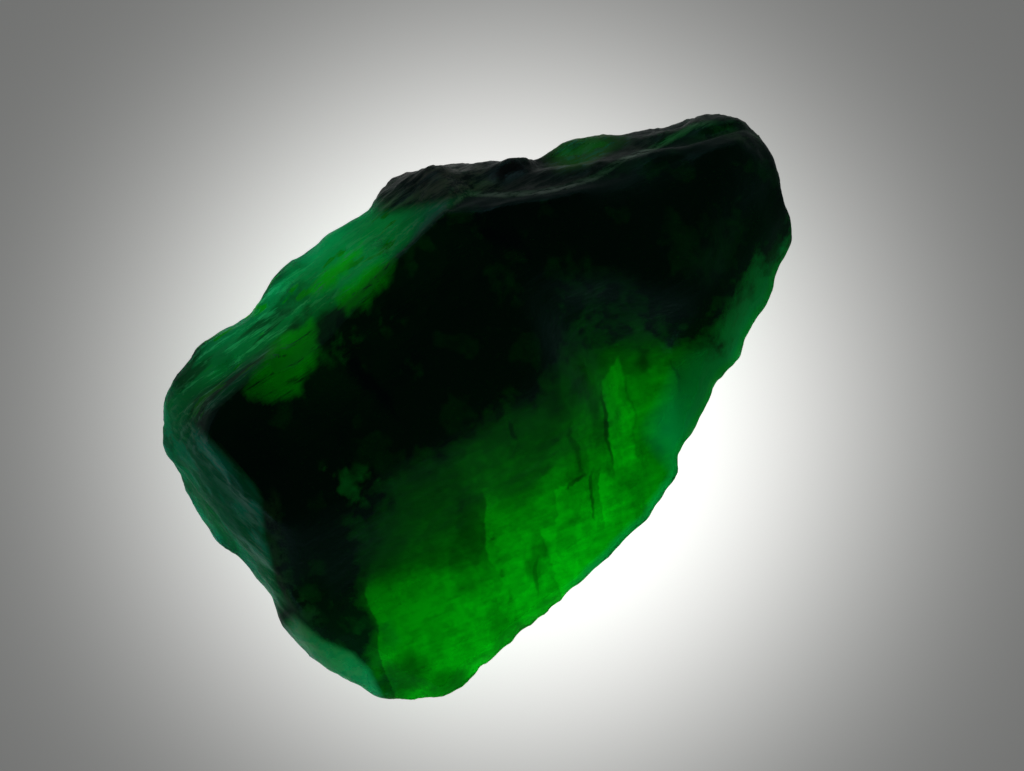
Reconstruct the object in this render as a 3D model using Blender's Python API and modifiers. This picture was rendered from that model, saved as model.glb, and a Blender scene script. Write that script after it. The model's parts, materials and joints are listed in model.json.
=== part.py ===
"""A rough emerald: one broken length of a beryl crystal, lying on its flat underside.

The stone is worked the way it broke. A blank with the true plan outline is cleaved along the
crystal's faces, a corner is struck off to leave a thin lip along the front, flakes are knocked
out from below, and the surface then gets its growth lines, hackle and pits.

Frame: +X along the crystal's length, towards the pointed end, +Y towards the tall grooved wall,
+Z up. The origin is the middle of the box's base, where the stone rests.
Lengths are in millimetres until the last step, which makes them metres.
"""

import math

import bmesh
import bpy
from mathutils import Matrix, Vector, noise

# Driving dimensions, in millimetres and degrees
CREST = 10.8  # height of the flat top where it meets the grooved wall
LIP = 6.2  # height of the front lip where it leaves the shoulder
FRONT_SCAR = 3.1  # height of the hollows that flakes left under the lip
WALL_SCAR = 3.4  # height of the long hollow under the grooved wall
CRACK = 61.0  # direction of the inner cracks, turned from the crystal's length
BLANK_TOP = 13.0
BLANK_BOTTOM = -1.2  # the blank starts this deep, so that the resting face is cut flat last
GRAIN = 0.28  # spacing of the worked surface
TRIANGLES = 8600
MM = 0.001

# The plan outline, anticlockwise from the pointed end.
OUTLINE = (
    # the steep back of the pointed end
    (22.4, 0.6), (22.2, 2.3), (21.4, 3.5), (19.9, 4.6), (18.0, 5.0), (14.5, 7.0), (13.0, 8.3),
    (11.6, 8.9), (9.6, 8.9), (7.6, 10.7), (6.0, 12.1),
    # the knob
    (3.1, 13.7), (1.6, 14.3), (0.1, 13.9), (-0.7, 13.4),
    # the grooved wall
    (-5.6, 14.3), (-8.3, 14.1), (-10.0, 13.4), (-11.6, 13.0), (-14.9, 13.7), (-17.9, 13.4),
    # the broken end
    (-19.8, 12.5), (-21.4, 9.7), (-22.3, 7.5), (-23.0, 5.5), (-22.9, 3.2), (-22.1, 1.0), (-22.2, -1.6),
    (-22.8, -3.7), (-22.7, -6.2), (-22.4, -9.1), (-20.9, -12.0), (-19.7, -13.5),
    # the thin front edge
    (-17.7, -14.3), (-16.2, -14.8), (-11.7, -14.9), (-4.4, -14.3), (0.1, -14.0), (2.2, -13.6),
    (3.7, -12.8), (4.3, -12.0), (6.2, -11.4), (8.4, -10.4), (10.5, -9.7), (11.9, -10.0),
    (12.8, -9.1), (15.9, -7.9), (18.0, -6.8), (19.6, -6.0), (20.2, -5.0), (21.2, -2.4),
    (21.9, -0.9),
)

# A face is a point on it, the azimuth it looks towards and its dip from level.
# A dip over 90 degrees looks down.
CLEAVED_FACES = {
    "flat_top": ((0.0, 9.4, CREST), -95, 6),
    "falling_tip": ((9.5, 3.0, CREST - 0.7), -14, 12),
    "tip_shoulder": ((14.5, -2.6, 8.6), -50, 28),
    "grooved_wall": ((0.0, 9.4, CREST), 91, 46),
    "back_of_tip": ((8.6, 7.6, 9.8), 60, 60),
    "left_corner": ((-17.9, 9.4, 10.0), 138, 50),
    "broken_end": ((-18.9, 4.0, 9.9), 176, 56),
    "lower_end": ((-20.8, -5.0, 8.4), 187, 60),
    "end_corner": ((-20.2, -11.2, 5.6), 216, 50),
    "front_edge": ((-8.0, -13.9, 5.0), -91, 56),
    "right_edge": ((9.0, -9.5, 5.6), -64, 54),
    "tip_edge": ((18.6, -4.8, 6.8), -52, 54),
    "point": ((21.0, 0.6, 7.2), 6, 56),
    "under_grooved_wall": ((0.0, 8.0, 0.0), 90, 158),
    "under_left_corner": ((-16.4, 8.6, 0.0), 138, 158),
    "under_broken_end": ((-18.0, 0.0, 0.0), 180, 160),
    "under_back": ((9.0, 6.4, 0.0), 60, 158),
    "under_point": ((18.6, 0.6, 0.0), 0, 158),
    "under_tip_edge": ((14.6, -3.4, 0.0), -50, 164),
    "under_front": ((0.0, -2.8, 0.0), -92, 164.5),
}

# What a blow took off, each as the faces that it left on the stone.
FRONT_CORNER = (
    ((-7.4, -0.8, 9.7), -97, 31),
    ((-7.0, -6.6, LIP), -91, 9),
    ((9.4, -6.4, 6.6), 149, 27),
)
LIP_NOTCH = (
    ((5.0, -6.0, LIP - 0.6), -91, 6),
    ((6.4, -4.8, LIP - 0.6), -128, 40),
    ((3.4, -6.6, LIP - 0.6), CRACK - 90, 44),
    ((8.0, -6.8, LIP - 0.6), CRACK + 90, 44),
)
END_CORNER_LEDGE = (
    ((-15.4, -2.0, 8.9), -130, 24),
    ((-18.0, -8.4, 6.3), -150, 34),
)
WALL_LEDGES = (
    # a shelf high on the grooved wall, towards the knob
    (((-3.0, 10.9, 8.5), 92, 30), ((-3.0, 10.4, 8.5), 97, 62), ((-10.0, 10.6, 8.5), 12, 40)),
    # a shelf low on the wall at the left
    (((-12.0, 12.3, 7.0), 94, 30), ((-12.0, 11.5, 7.0), 86, 62), ((-8.0, 12.0, 7.0), 166, 42)),
    # the notch between the knob and the back of the tip
    (((8.2, 9.4, 7.2), 64, 26), ((7.6, 8.2, 7.2), 58, 66), ((5.6, 10.2, 7.2), 14, 50)),
    # the thin flange along the back of the tip
    (((13.2, 7.8, 5.2), 62, 14), ((12.6, 6.8, 5.2), 62, 74), ((10.2, 8.0, 5.2), 6, 60)),
)
UNDER_FLAKES = (
    # beside the shoulder, between two cracks
    (((5.0, -7.8, FRONT_SCAR - 1.3), -95, 166), ((2.7, -7.2, 2.0), CRACK - 90, 118),
     ((8.4, -7.4, 2.0), CRACK + 90, 136), ((5.6, -5.4, 1.4), -100, 158)),
    # the long flake next to it
    (((0.6, -8.6, FRONT_SCAR - 1.2), -95, 166), ((-1.2, -8.6, 2.0), CRACK - 90, 122),
     ((3.4, -8.2, 2.0), CRACK + 90, 128)),
    # two in the middle of the front edge
    (((-6.6, -10.0, FRONT_SCAR - 0.6), -95, 166), ((-9.2, -9.4, 2.4), CRACK - 90, 116),
     ((-3.8, -9.0, 2.4), CRACK + 90, 134), ((-6.6, -8.4, FRONT_SCAR - 1.1), -80, 158)),
    (((-4.0, -12.0, FRONT_SCAR - 0.1), -85, 166), ((-5.6, -11.4, 3.0), CRACK - 90, 118),
     ((-0.6, -11.2, 3.0), 135, 140), ((-3.2, -11.2, FRONT_SCAR - 0.5), -95, 154)),
    # the broad flake under the left of the front edge
    (((-14.6, -10.4, FRONT_SCAR - 0.5), -98, 168), ((-10.2, -10.6, 2.6), CRACK + 90, 122),
     ((-14.0, -8.8, FRONT_SCAR - 1.0), -106, 158), ((-20.6, -11.4, 2.6), 16, 144)),
    # the long hollow under the grooved wall, and two deeper ones in it
    (((-8.6, 10.6, WALL_SCAR), 92, 172), ((-8.6, 8.6, 2.4), 87, 146), ((3.6, 11.0, 2.4), 172, 136),
     ((-18.6, 10.6, 2.4), 14, 146)),
    (((-11.4, 9.2, WALL_SCAR + 0.7), 70, 171), ((-11.6, 6.6, 2.8), 70, 146), ((-8.4, 9.0, 3.0), 152, 138),
     ((-14.6, 9.0, 3.0), 22, 142)),
    (((-4.0, 10.6, WALL_SCAR + 0.9), 88, 172), ((-4.0, 8.4, 3.4), 96, 142), ((-1.2, 10.6, 3.4), 196, 138),
     ((-6.8, 10.4, 3.4), 24, 140)),
)
KNOB = ((2.2, 11.5, 6.8), (3.0, 2.2, 1.9), -14)  # centre, radii and turn


def facing(azimuth, dip):
    """The outward normal of a face that looks towards azimuth and is tipped dip degrees from level."""
    around = math.radians(azimuth)
    down = math.radians(dip)
    return Vector((math.sin(down) * math.cos(around), math.sin(down) * math.sin(around), math.cos(down)))


def cleave(solid, face, keep_outside=False):
    """Parts a solid along a face, closes it flat, and keeps the stone's side or the chip's side."""
    through, azimuth, dip = face
    parted = bmesh.ops.bisect_plane(
        solid,
        geom=solid.verts[:] + solid.edges[:] + solid.faces[:],
        dist=1e-5,
        plane_co=through,
        plane_no=facing(azimuth, dip),
        clear_outer=not keep_outside,
        clear_inner=keep_outside,
    )
    rim = [item for item in parted["geom_cut"] if isinstance(item, bmesh.types.BMEdge)]
    if rim:
        bmesh.ops.holes_fill(solid, edges=rim)


def new_object(name, mesh, collection):
    made = bpy.data.objects.new(name, mesh)
    collection.objects.link(made)
    return made


def helper_object(name, mesh, collection):
    made = new_object(name, mesh, collection)
    made.hide_render = True
    made.display_type = "WIRE"
    return made


def evaluated_mesh(source):
    """The mesh that an object's modifiers, or a curve's extrusion, give."""
    bpy.context.view_layer.update()
    graph = bpy.context.evaluated_depsgraph_get()
    return bpy.data.meshes.new_from_object(source.evaluated_get(graph))


def blank(collection):
    """The plan outline, filled and extruded."""
    plan = bpy.data.curves.new("plan_outline", "CURVE")
    plan.dimensions = "2D"
    plan.fill_mode = "BOTH"
    plan.extrude = (BLANK_TOP - BLANK_BOTTOM) / 2
    line = plan.splines.new("POLY")
    line.points.add(len(OUTLINE) - 1)
    for point, (x, y) in zip(line.points, OUTLINE):
        point.co = (x, y, 0, 1)
    line.use_cyclic_u = True
    guide = new_object("plan_outline", plan, collection)
    guide.location.z = (BLANK_TOP + BLANK_BOTTOM) / 2

    solid = bmesh.new()
    solid.from_mesh(evaluated_mesh(guide))
    bmesh.ops.translate(solid, verts=solid.verts, vec=guide.location)
    bmesh.ops.remove_doubles(solid, verts=solid.verts, dist=1e-4)
    bpy.data.objects.remove(guide)
    return solid


def chip(name, faces, collection):
    """The piece that a blow took off: a block with the faces it left on the stone."""
    solid = bmesh.new()
    bmesh.ops.create_cube(solid, size=70)
    for face in faces:
        cleave(solid, face, keep_outside=True)
    bmesh.ops.recalc_face_normals(solid, faces=solid.faces)
    mesh = bpy.data.meshes.new(name)
    solid.to_mesh(mesh)
    solid.free()
    return helper_object(name, mesh, collection)


def knob(collection):
    """The rounded lump that stands out of the wall's top edge."""
    centre, radii, turn = KNOB
    solid = bmesh.new()
    bmesh.ops.create_uvsphere(solid, u_segments=32, v_segments=20, radius=1)
    bmesh.ops.scale(solid, verts=solid.verts, vec=radii)
    bmesh.ops.rotate(solid, verts=solid.verts, matrix=Matrix.Rotation(math.radians(turn), 3, "Z"))
    bmesh.ops.translate(solid, verts=solid.verts, vec=centre)
    mesh = bpy.data.meshes.new("knob")
    solid.to_mesh(mesh)
    solid.free()
    return helper_object("knob", mesh, collection)


def strike(stone, other, operation="DIFFERENCE"):
    cut = stone.modifiers.new(other.name, "BOOLEAN")
    cut.operation = operation
    cut.object = other


def clamp(value, low=0.0, high=1.0):
    return min(high, max(low, value))


def grooves(x, across):
    """Growth lines along the crystal: long in x, close together across the wall."""
    wide = noise.noise(Vector((x * 0.05, across * 0.55, 3.1)))
    fine = noise.noise(Vector((x * 0.09, across * 1.5, 8.4)))
    return 0.42 * wide + 0.2 * fine


def terraces(place, step):
    """Broken ledges: slow noise pressed into flat levels with short risers."""
    level = noise.noise(place) * 2.4
    base = math.floor(level)
    return (base + 0.5 + clamp((level - base - 0.72) / 0.28)) * step


def hackle(place):
    """The uneven grain of a broken face."""
    coarse = noise.noise(place * 0.42)
    ridged = 1 - abs(noise.noise(place * 0.85 + Vector((11, 3, 7)))) * 2
    return 0.3 * coarse + 0.2 * ridged - 0.1


def pits(place, spacing, share):
    """Round hollows in about this share of the cells of a loose grid."""
    distances, centres = noise.voronoi(place / spacing)
    chosen = noise.cell(centres[0] * 7.3) < share
    return -clamp(1 - distances[0] / 0.42) ** 0.5 if chosen else 0.0


def relief(place, normal):
    """How far the surface stands out of its smooth form, by the kind of face it is on."""
    wall = clamp((normal.y - 0.25) / 0.3) * clamp((normal.z + 0.75) / 0.4)
    end = clamp((-normal.x - 0.3) / 0.3)
    top = clamp((normal.z - 0.86) / 0.1)
    under = clamp((-normal.z - 0.3) / 0.4)
    broken = clamp(1 - wall - top)
    raised = wall * grooves(place.x, place.z - place.y)
    raised += wall * terraces(Vector((place.x * 0.07, place.z * 0.34, 5.0)), 0.24)
    raised += end * terraces(Vector((place.y * 0.09, place.z * 0.4, 9.0)), 0.26)
    raised += broken * (1 - 0.4 * under) * hackle(place)
    raised += top * 0.1 * noise.noise(place * 0.3)
    raised += (wall + 0.5 * top + 0.6 * end) * 0.34 * pits(place, 3.1, 0.34)
    return raised


def work_surface(solid):
    """Moves every point along its own normal by the relief there."""
    solid.normal_update()
    moves = [(vert, vert.normal * relief(vert.co, vert.normal)) for vert in solid.verts]
    for vert, move in moves:
        vert.co += move


def rest_on_origin(solid):
    """Cuts the resting face flat, and puts the middle of the box's base at the origin."""
    cleave(solid, ((0, 0, 0), 0, 180))
    for axis in (0, 1):
        values = [vert.co[axis] for vert in solid.verts]
        middle = (min(values) + max(values)) / 2
        for vert in solid.verts:
            vert.co[axis] -= middle


def remeshed(stone, grain):
    even = stone.modifiers.new("even_grain", "REMESH")
    even.mode = "VOXEL"
    even.voxel_size = grain
    return evaluated_mesh(stone)


def thinned(name, mesh, triangles, collection):
    """The same surface in about this many triangles, with the most where it bends."""
    helper = new_object(name, mesh, collection)
    fewer = helper.modifiers.new("fewer_triangles", "DECIMATE")
    fewer.ratio = triangles / sum(len(face.vertices) - 2 for face in mesh.polygons)
    result = evaluated_mesh(helper)
    bpy.data.objects.remove(helper)
    return result


def emerald_material():
    material = bpy.data.materials.new("emerald")
    material.use_nodes = True
    shader = material.node_tree.nodes["Principled BSDF"]
    shader.inputs["Base Color"].default_value = (0.0, 0.22, 0.08, 1)
    shader.inputs["Roughness"].default_value = 0.3
    shader.inputs["Metallic"].default_value = 0.0
    shader.inputs["IOR"].default_value = 1.58
    return material


def main():
    for old in list(bpy.data.objects):
        bpy.data.objects.remove(old)
    parts = bpy.data.collections.new("raw_emerald")
    cutters = bpy.data.collections.new("chips")
    for collection in (parts, cutters):
        bpy.context.scene.collection.children.link(collection)

    solid = blank(cutters)
    for face in CLEAVED_FACES.values():
        cleave(solid, face)
    bmesh.ops.recalc_face_normals(solid, faces=solid.faces)
    rough = bpy.data.meshes.new("cleaved_blank")
    solid.to_mesh(rough)
    solid.free()
    stone = new_object("cleaved_blank", rough, cutters)

    strike(stone, knob(cutters), "UNION")
    strike(stone, chip("front_corner", FRONT_CORNER, cutters))
    strike(stone, chip("lip_notch", LIP_NOTCH, cutters))
    strike(stone, chip("end_corner_ledge", END_CORNER_LEDGE, cutters))
    for number, faces in enumerate(WALL_LEDGES, 1):
        strike(stone, chip(f"wall_ledge_{number}", faces, cutters))
    for number, faces in enumerate(UNDER_FLAKES, 1):
        strike(stone, chip(f"under_flake_{number}", faces, cutters))

    worked = bmesh.new()
    worked.from_mesh(remeshed(stone, GRAIN))
    work_surface(worked)
    worked_mesh = bpy.data.meshes.new("worked_surface")
    worked.to_mesh(worked_mesh)
    worked.free()
    for helper in list(cutters.objects):
        bpy.data.objects.remove(helper)

    finished = bmesh.new()
    finished.from_mesh(thinned("thinned", worked_mesh, TRIANGLES, cutters))
    rest_on_origin(finished)
    bmesh.ops.scale(finished, verts=finished.verts, vec=(MM, MM, MM))
    mesh = bpy.data.meshes.new("emerald_crystal")
    finished.to_mesh(mesh)
    finished.free()
    mesh.shade_smooth()
    mesh.set_sharp_from_angle(angle=math.radians(35))
    mesh.materials.append(emerald_material())
    new_object("emerald_crystal", mesh, parts)


main()
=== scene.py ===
# %% [markdown]
# # A rough emerald on a lit table
#
# The object is one broken length of a beryl crystal. It lies on a pale table that glows from
# below, so most of its colour is light that has come up through it: bright green where the
# stone is thin, black where it is thick.
#
# The lesson goes in this order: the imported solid, a finer skin for it, the green glass, and
# last the table, the lamps and the camera. Lengths in the values below are millimetres unless
# a name says otherwise.

import json
import math

import bpy
import numpy as np
from mathutils import Matrix, Vector, noise
from mathutils.kdtree import KDTree

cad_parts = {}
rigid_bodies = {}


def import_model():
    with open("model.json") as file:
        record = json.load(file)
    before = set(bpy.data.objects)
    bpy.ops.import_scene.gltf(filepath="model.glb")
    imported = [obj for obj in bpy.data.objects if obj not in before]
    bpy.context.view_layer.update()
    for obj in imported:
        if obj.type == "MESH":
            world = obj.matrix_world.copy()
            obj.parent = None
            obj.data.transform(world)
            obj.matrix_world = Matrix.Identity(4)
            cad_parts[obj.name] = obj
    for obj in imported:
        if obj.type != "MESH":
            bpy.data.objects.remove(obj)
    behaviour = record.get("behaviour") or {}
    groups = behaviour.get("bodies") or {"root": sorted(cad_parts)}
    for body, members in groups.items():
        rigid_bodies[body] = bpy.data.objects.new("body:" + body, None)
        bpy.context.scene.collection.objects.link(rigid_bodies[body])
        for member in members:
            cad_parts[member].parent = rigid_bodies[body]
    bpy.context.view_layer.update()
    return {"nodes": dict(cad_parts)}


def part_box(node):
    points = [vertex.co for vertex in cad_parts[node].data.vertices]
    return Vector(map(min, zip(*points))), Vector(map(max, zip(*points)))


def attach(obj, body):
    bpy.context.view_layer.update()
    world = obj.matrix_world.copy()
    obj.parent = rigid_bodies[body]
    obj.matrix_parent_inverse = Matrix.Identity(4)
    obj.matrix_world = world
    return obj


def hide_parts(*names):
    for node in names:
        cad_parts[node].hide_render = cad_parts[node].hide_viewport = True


MM = 0.001

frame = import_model()
solid = frame["nodes"]["emerald_crystal"]
low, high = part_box("emerald_crystal")
length, width, height = (high - low) / MM
print(f"solid: {len(solid.data.vertices)} points, {length:.1f} x {width:.1f} x {height:.1f} mm")

# %% [markdown]
# ## An even skin
#
# The solid has the right faces, but its triangles are nearly a millimetre across, too coarse
# for growth lines and chips. A voxel remesh lays an even net of small squares over the same
# shape. It forgets nothing larger than its own spacing, and it stays one closed surface,
# which glass needs: light is absorbed by the distance between going in and coming out.

# %% Lay an even net over the solid
SKIN_SPACING = 0.2


def baked_mesh(thing):
    """The mesh that an object's modifiers give."""
    bpy.context.view_layer.update()
    graph = bpy.context.evaluated_depsgraph_get()
    return bpy.data.meshes.new_from_object(thing.evaluated_get(graph))


coarse = bpy.data.objects.new("coarse_copy", solid.data.copy())
bpy.context.scene.collection.objects.link(coarse)
coarse.data.transform(Matrix.Scale(1 / MM, 4))
net = coarse.modifiers.new("even_net", "REMESH")
net.mode = "VOXEL"
net.voxel_size = SKIN_SPACING
skin = baked_mesh(coarse)
bpy.data.objects.remove(coarse)
print(f"even net: {len(skin.vertices)} points, {len(skin.polygons)} faces")

# %% [markdown]
# ## Reading and smoothing the net
#
# The net still carries the flat facets of the coarse triangles. Moving every point a little
# towards the middle of its neighbours, a few times, melts them together. The same average
# rounds whole slopes further on, and tells ridges from hollows.

# %% Read and write the net's points
def point_array(mesh):
    """The places of a mesh's points, one row each."""
    flat = np.empty(len(mesh.vertices) * 3)
    mesh.vertices.foreach_get("co", flat)
    return flat.reshape(-1, 3)


def normal_array(mesh):
    """The directions that a mesh's points face, one row each."""
    flat = np.empty(len(mesh.vertices) * 3)
    mesh.vertex_normals.foreach_get("vector", flat)
    return flat.reshape(-1, 3)


def store_points(mesh, points):
    mesh.vertices.foreach_set("co", points.reshape(-1))
    mesh.update()


print(f"the net reaches from {point_array(skin).min(0).round(1)} to {point_array(skin).max(0).round(1)}")

# %% Neighbour averages
pairs = np.empty(len(skin.edges) * 2, int)
skin.edges.foreach_get("vertices", pairs)
first, second = pairs.reshape(-1, 2).T
neighbour_count = np.bincount(pairs, minlength=len(skin.vertices))
print(f"neighbours: {neighbour_count.mean():.1f} to a point")


def neighbour_mean(values):
    """For each point, the mean of its neighbours' values."""
    rows = values.reshape(len(values), -1)
    total = np.zeros_like(rows)
    np.add.at(total, first, rows[second])
    np.add.at(total, second, rows[first])
    return (total / neighbour_count[:, None]).reshape(values.shape)


def softened(values, times, share=0.5):
    """The values after moving each towards its neighbours' mean, this many times."""
    for _ in range(times):
        values = values + share * (neighbour_mean(values) - values)
    return values

# %% Soften the net
SKIN_SOFTENING = 5
DIRECTION_SOFTENING = 10


def unit_rows(vectors):
    return vectors / np.linalg.norm(vectors, axis=1)[:, None]


points = softened(point_array(skin), SKIN_SOFTENING)
points[:, 2] = np.maximum(points[:, 2], 0.0)
store_points(skin, points)
smooth_normals = unit_rows(softened(normal_array(skin), DIRECTION_SOFTENING))
print(f"softened {SKIN_SOFTENING} times: {points[:, 2].max():.2f} mm high")

# %% [markdown]
# ## Drawing the stone's regions in plan
#
# Seen from above, the stone is a map: a dark body under the flat top, a bright lip in front of
# it, and walls all round the back. Two lines drawn on that map tell the regions apart: the
# crest, where the flat top turns down into the walls, and the outline of the dark body. For
# every point of the skin the helpers below measure how far it is from such a line, so that
# the border can be made as sharp or as soft as it is on the stone.

# %% The lines drawn in plan
CREST_LINE = (
    # up the broken end
    (-20.6, -11.8), (-19.9, -9.6), (-20.0, -8.0), (-20.9, -6.0), (-21.1, -4.4), (-21.1, -2.3),
    (-20.8, -1.1), (-19.9, 0.2), (-19.1, 1.7), (-17.8, 3.4), (-17.5, 4.6), (-17.7, 8.1), (-17.9, 10.2),
    # along the grooved wall, past the knob, and down the back of the point
    (-12.2, 10.0), (-8.0, 10.2), (-1.4, 10.0), (3.0, 10.3), (5.3, 10.3), (7.0, 8.6), (8.6, 7.4),
    (10.2, 6.5), (12.3, 5.7), (14.5, 5.5), (16.7, 4.8), (19.8, 4.3), (21.4, 3.4), (22.5, 1.6),
)
# Inside this outline the colour is nearly black: painted shade over the thick stone.
DARK_BODY = (
    # its front, from the broken end to the point; its other sides lie outside the stone
    (-24.0, -11.0), (-19.9, -10.4), (-18.6, -8.8), (-17.0, -6.6), (-15.4, -4.3), (-13.0, -2.9),
    (-11.5, -1.8), (-10.4, -0.3), (-8.6, -1.3), (-6.4, -2.2), (-3.4, -1.6), (-0.8, -2.6), (0.7, -3.6),
    (1.7, -2.5), (3.0, -2.3), (4.6, -3.0), (6.3, -3.3), (8.0, -3.9), (8.9, -5.0), (9.4, -6.2), (9.9, -7.7),
    (11.6, -8.0), (14.6, -6.3), (17.6, -5.8), (20.2, -5.6), (23.5, -3.0),
    (25.0, 0.0), (25.0, 16.0), (-25.0, 16.0),
)
# Clear windows between the dark body and the grooved wall, and one in the wall.
WINDOWS = (
    ((-14.2, 9.6), (-13.0, 8.2), (-11.4, 7.1), (-10.5, 7.8), (-9.3, 8.4), (-8.5, 8.8), (-7.9, 10.4),
     (-11.0, 11.0)),
    ((-5.8, 10.6), (-5.6, 9.2), (-4.4, 8.8), (-2.4, 9.2), (-1.1, 10.1), (-2.6, 10.9)),
    ((-7.0, 12.0), (-5.6, 11.3), (-2.4, 11.7), (-2.1, 12.3), (-4.8, 12.7)),
)
print(f"corners: {len(CREST_LINE)} in the crest, {len(DARK_BODY)} round the dark body")

# %% Distances to a line drawn in plan
EVEN_CHOICE = 1e-6  # enough to choose between two steps that are equally near


def plan_distance(places, line, closed=False):
    """The distance in plan to the nearest part of a line, positive on the line's left."""
    corners = np.array(line + line[:1] if closed else line)
    starts = corners[:-1]
    steps = corners[1:] - starts
    offsets = places[:, None, :2] - starts[None]
    share = np.clip((offsets * steps).sum(2) / (steps * steps).sum(1), 0, 1)
    gaps = offsets - share[:, :, None] * steps[None]
    distances = np.hypot(gaps[..., 0], gaps[..., 1])
    to_left = (steps[:, 0] * offsets[..., 1] - steps[:, 1] * offsets[..., 0]) / np.hypot(*steps.T)
    # Beside a corner two steps are equally near, and the one that faces the place tells its side.
    nearest = (distances - EVEN_CHOICE * np.abs(to_left)).argmin(1)
    rows = np.arange(len(places))
    return np.sign(to_left[rows, nearest]) * distances[rows, nearest]


def plan_inside(places, outline):
    """The distance in plan to a closed outline, positive inside it."""
    distance = np.abs(plan_distance(places, outline, closed=True))
    corners = np.array(outline)
    crossings = np.zeros(len(places), int)
    for (x0, y0), (x1, y1) in zip(corners, np.roll(corners, -1, axis=0)):
        spans = (y0 > places[:, 1]) != (y1 > places[:, 1])
        meets = x0 + (places[:, 1] - y0) * (x1 - x0) / (y1 - y0 if y1 != y0 else 1.0)
        crossings += spans & (places[:, 0] < meets)
    return np.where(crossings % 2 == 1, distance, -distance)


beyond_crest = plan_distance(points, CREST_LINE)
in_body = plan_inside(points, DARK_BODY)
in_window = np.max([plan_inside(points, window) for window in WINDOWS], axis=0)
print(f"walls: {100 * (beyond_crest > 0).mean():.0f}% of the surface")
print(f"dark body: {100 * (in_body > 0).mean():.0f}% of it")

# %% [markdown]
# ## Which face is which
#
# Each kind of face broke or grew in its own way, so each gets a mask from 0 to 1: the flat
# top, the thin lip, the grooved wall, the broken end, the knob and the rusty ridge behind the
# point, and the underside. The masks are stored on the mesh as attributes, so the material
# reads the same ones that shape the surface.

# %% The distance from the stone's outline
RIM_STEEPNESS = 0.25  # a face this close to upright counts as the outline


def ramp(values, start, end):
    """0 before start, 1 after end, smooth between them."""
    t = np.clip((values - start) / (end - start), 0, 1)
    return t * t * (3 - 2 * t)


upright = np.flatnonzero(np.abs(smooth_normals[:, 2]) < RIM_STEEPNESS)
rim_tree = KDTree(len(upright))
for number in upright:
    rim_tree.insert((points[number, 0], points[number, 1], 0), int(number))
rim_tree.balance()
from_rim = np.array([rim_tree.find((place[0], place[1], 0))[2] for place in points])
print(f"widest half-width: {from_rim.max():.1f} mm")

# %% [markdown]
# ## Rounding the slopes
#
# The lip, the ledges on the grooved wall and the corner behind are worn into soft slopes,
# while the edge of the flat top stays crisp. The neighbour average does this as well, once
# each point moves by its own share: much on the slopes, nothing on the crest. What still
# stands out from its neighbours afterwards is a ridge, and gets chipped further on.

# %% How much each place is rounded
WALL_SHARE = 0.6
CORNER_SHARE = 0.7
BACK_CORNER = (-18.1, 12.2)  # where the grooved wall meets the broken end

x, y = points.T[:2]
ny, nz = smooth_normals.T[1:]
in_front = ramp(-beyond_crest, 0.6, 2.4) * ramp(from_rim, 0.8, 2.0) * ramp(nz, 0.0, 0.4)
on_wall = WALL_SHARE * ramp(beyond_crest, 0.2, 1.2) * ramp(from_rim, 0.4, 1.4) * ramp(ny, 0.1, 0.4)
along_wall = ramp(x, -17.0, -14.5) * (1 - ramp(x, -3.0, 0.0)) * ramp(y, 4.0, 6.0)
on_crest = along_wall * ramp(beyond_crest, -3.0, -2.0) * ramp(from_rim, 1.0, 2.0)
from_corner = np.hypot(x - BACK_CORNER[0], y - BACK_CORNER[1])
on_corner = CORNER_SHARE * (1 - ramp(from_corner, 1.6, 3.2))
worn_round = np.max([in_front, on_wall, on_crest, on_corner], axis=0)[:, None]
print(f"rounded: {100 * (worn_round > 0.5).mean():.0f}% of the surface")

# %% Round the slopes
ROUNDING_STEPS = 130
RIDGE_SOFTENING = 8  # how far a ridge is compared with its surroundings

for _ in range(ROUNDING_STEPS):
    points = points + 0.5 * worn_round * (neighbour_mean(points) - points)
store_points(skin, points)
smooth_normals = unit_rows(softened(normal_array(skin), 6))
ridges = np.einsum("ij,ij->i", points - softened(points, RIDGE_SOFTENING), smooth_normals)
print(f"ridges: up to {ridges.max():.3f} mm")

# %% [markdown]
# ## Broad patterns
#
# Clouds, fibres and windows are wider than the skin's own grain. Noise read once at every
# point of the skin gives them. Each is turned into ranks, so that a threshold of 0.8 always
# means the strongest fifth of the surface.

# %% Noise read at every point
def sampled(function, stretch, shift=(0, 0, 0)):
    """function at every point, after stretching the place by these factors."""
    places = points * np.array(stretch) + np.array(shift)
    return np.array([function(Vector(place)) for place in places])


def shell(place):
    """Shell-shaped hollows: deepest in the middle of each cell."""
    return noise.voronoi(place)[0][0] - 0.55


def ridged(place):
    return 1 - 2 * abs(noise.noise(place))


def billows(place):
    return noise.fractal(place, 0.7, 2.0, 4)


def evened(values):
    """Each value's rank, from 0 to 1, so that a threshold is a share of the surface."""
    return values.argsort().argsort() / len(values)


print(f"the ranks of 5, 1 and 3: {evened(np.array([5, 1, 3])).round(2)}")

# %% The patterns
RAGGED_REACH = 0.8  # how far a drawn border is pushed either way

patterns = {
    "wander": evened(sampled(noise.noise, (0.42, 0.42, 0.42))),
    "cloud_pattern": evened(sampled(billows, (0.33, 0.33, 0.33), (9, 3, 0))),
    "broad_fibres": evened(sampled(billows, (0.12, 0.8, 0.8), (2, 8, 1))),
    "wall_windows": evened(sampled(billows, (0.20, 0.7, 0.7), (5, 2, 7))),
    "broad_waves": evened(sampled(billows, (0.9, 0.25, 0.5), (3, 1, 6))),
}
ragged = 2 * RAGGED_REACH * (evened(sampled(billows, (0.8, 0.8, 0.8), (4, 4, 1))) - 0.5)
print(f"patterns: {', '.join(patterns)}")
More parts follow.
